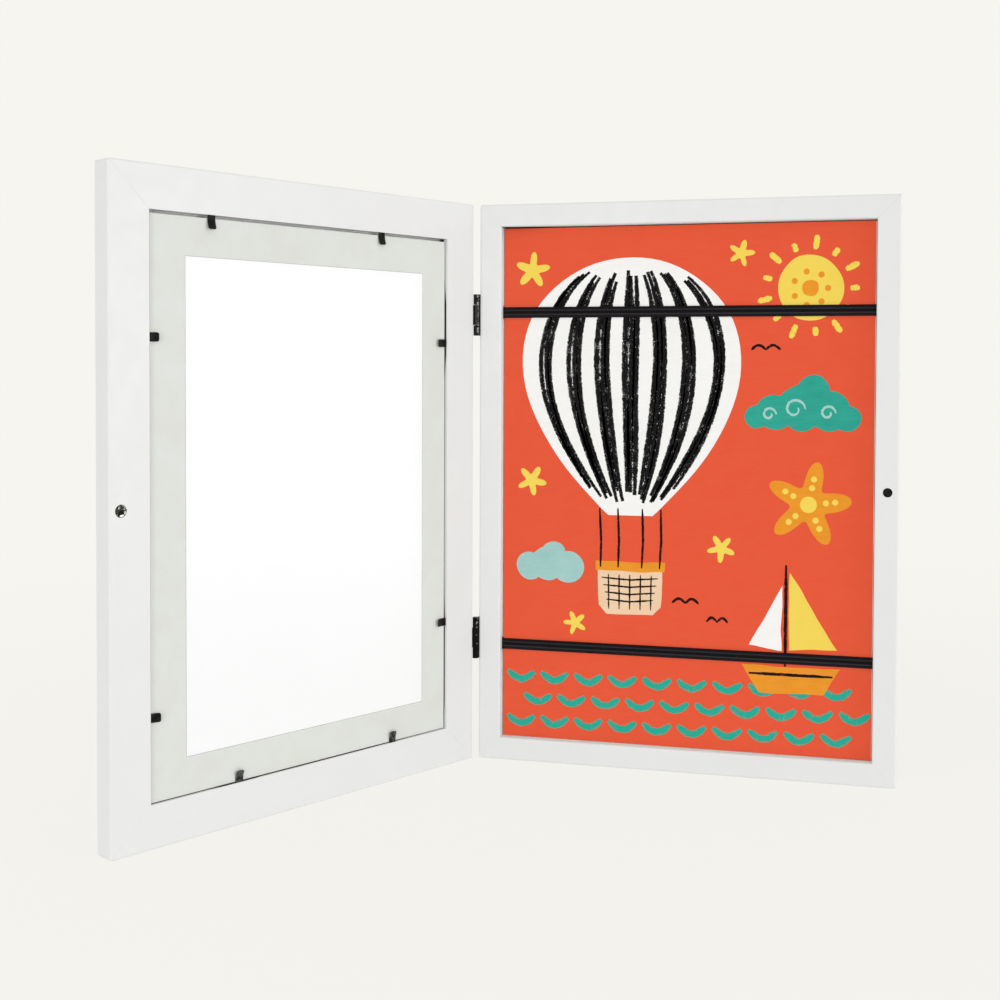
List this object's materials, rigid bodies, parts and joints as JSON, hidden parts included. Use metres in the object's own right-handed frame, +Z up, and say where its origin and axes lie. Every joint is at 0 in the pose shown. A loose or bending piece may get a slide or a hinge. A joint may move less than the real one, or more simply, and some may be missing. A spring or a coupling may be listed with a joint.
{
  "type": "childrens art frame",
  "caption": "White front-opening picture frame for children's art: a sheet storage tray with elastic straps and a hinged glazed door with mat, points and magnetic catch, standing open.",
  "frame": {"origin": "middle of the underside of the tray's bottom rail", "axes": "+X along the tray's width, from the hinged side to the magnet side; +Y out of the tray's back; +Z up"},
  "size_m": [0.3633, 0.2349, 0.324],
  "materials": {
    "white_paint": "satin white paint on fibreboard",
    "hardboard": "bare brown hardboard",
    "picture_paper": "painted paper, matt",
    "sheet_paper": "drawing paper",
    "black_elastic": "ribbed woven elastic",
    "zinc_steel": "bright zinc plate",
    "black_magnet": "black coated",
    "black_steel": "black coated, semi-matt",
    "clear_pane": "clear polished acrylic",
    "mat_board": "white mat board, back side",
    "nickel_magnet": "nickel plated",
    "dark_steel": "dark soft steel strip"
  },
  "bodies": {
    "tray": {"tray_left_rail": "white_paint", "tray_top_rail": "white_paint", "tray_right_rail": "white_paint", "tray_bottom_rail": "white_paint", "back_panel": "hardboard", "front_sheet": "picture_paper", "stored_sheets": "sheet_paper", "upper_strap": "black_elastic", "lower_strap": "black_elastic", "upper_strap_left_staple": "zinc_steel", "upper_strap_right_staple": "zinc_steel", "lower_strap_left_staple": "zinc_steel", "lower_strap_right_staple": "zinc_steel", "tray_magnet": "black_magnet", "top_hanger": "zinc_steel", "side_hanger": "zinc_steel", "top_hanger_left_nail": "zinc_steel", "top_hanger_right_nail": "zinc_steel", "side_hanger_lower_nail": "zinc_steel", "side_hanger_upper_nail": "zinc_steel", "upper_hinge_tray_leaf": "black_steel", "upper_hinge_pin": "black_steel", "upper_hinge_tray_lower_screw": "black_steel", "upper_hinge_tray_upper_screw": "black_steel", "lower_hinge_tray_leaf": "black_steel", "lower_hinge_pin": "black_steel", "lower_hinge_tray_lower_screw": "black_steel", "lower_hinge_tray_upper_screw": "black_steel"},
    "door": {"door_hinge_rail": "white_paint", "door_top_rail": "white_paint", "door_free_rail": "white_paint", "door_bottom_rail": "white_paint", "glazing": "clear_pane", "mat": "mat_board", "door_magnet": "nickel_magnet", "upper_hinge_door_leaf": "black_steel", "upper_hinge_door_lower_screw": "black_steel", "upper_hinge_door_upper_screw": "black_steel", "lower_hinge_door_leaf": "black_steel", "lower_hinge_door_lower_screw": "black_steel", "lower_hinge_door_upper_screw": "black_steel", "hinge_side_upper_point_shank": "dark_steel", "hinge_side_lower_point_shank": "dark_steel", "free_side_upper_point_shank": "dark_steel", "free_side_lower_point_shank": "dark_steel", "top_outer_point_shank": "dark_steel", "top_inner_point_shank": "dark_steel", "bottom_outer_point_shank": "dark_steel", "bottom_inner_point_shank": "dark_steel"},
    "hinge_side_upper_tongue": {"hinge_side_upper_point_tongue": "dark_steel"},
    "hinge_side_lower_tongue": {"hinge_side_lower_point_tongue": "dark_steel"},
    "free_side_upper_tongue": {"free_side_upper_point_tongue": "dark_steel"},
    "free_side_lower_tongue": {"free_side_lower_point_tongue": "dark_steel"},
    "top_outer_tongue": {"top_outer_point_tongue": "dark_steel"},
    "top_inner_tongue": {"top_inner_point_tongue": "dark_steel"},
    "bottom_outer_tongue": {"bottom_outer_point_tongue": "dark_steel"},
    "bottom_inner_tongue": {"bottom_inner_point_tongue": "dark_steel"}
  },
  "joints": [
    {"name": "door_hinge", "type": "hinge", "parent": "tray", "child": "door", "pos_m": [-0.1204, -0.0101, 0.162], "axis": [0, 0, -1], "range_deg": [-118.5, 61.5]},
    {"name": "hinge_side_upper_bend", "type": "hinge", "parent": "door", "child": "hinge_side_upper_tongue", "pos_m": [-0.13337, -0.03105, 0.2431], "axis": [0, 0, 1], "range_deg": [0, 80]},
    {"name": "hinge_side_lower_bend", "type": "hinge", "parent": "door", "child": "hinge_side_lower_tongue", "pos_m": [-0.13337, -0.03105, 0.0833], "axis": [0, 0, 1], "range_deg": [0, 80]},
    {"name": "free_side_upper_bend", "type": "hinge", "parent": "door", "child": "free_side_upper_tongue", "pos_m": [-0.22479, -0.19943, 0.2427], "axis": [0, 0, -1], "range_deg": [0, 80]},
    {"name": "free_side_lower_bend", "type": "hinge", "parent": "door", "child": "free_side_lower_tongue", "pos_m": [-0.22479, -0.19943, 0.0626], "axis": [0, 0, -1], "range_deg": [0, 80]},
    {"name": "top_outer_bend", "type": "hinge", "parent": "door", "child": "top_outer_tongue", "pos_m": [-0.20857, -0.16955, 0.3013], "axis": [-0.4772, -0.8788, 0], "range_deg": [0, 80]},
    {"name": "top_inner_bend", "type": "hinge", "parent": "door", "child": "top_inner_tongue", "pos_m": [-0.15613, -0.07297, 0.3013], "axis": [-0.4772, -0.8788, 0], "range_deg": [0, 80]},
    {"name": "bottom_outer_bend", "type": "hinge", "parent": "door", "child": "bottom_outer_tongue", "pos_m": [-0.20098, -0.15558, 0.0227], "axis": [0.4772, 0.8788, 0], "range_deg": [0, 80]},
    {"name": "bottom_inner_bend", "type": "hinge", "parent": "door", "child": "bottom_inner_tongue", "pos_m": [-0.15217, -0.06568, 0.0227], "axis": [0.4772, 0.8788, 0], "range_deg": [0, 80]}
  ]
}
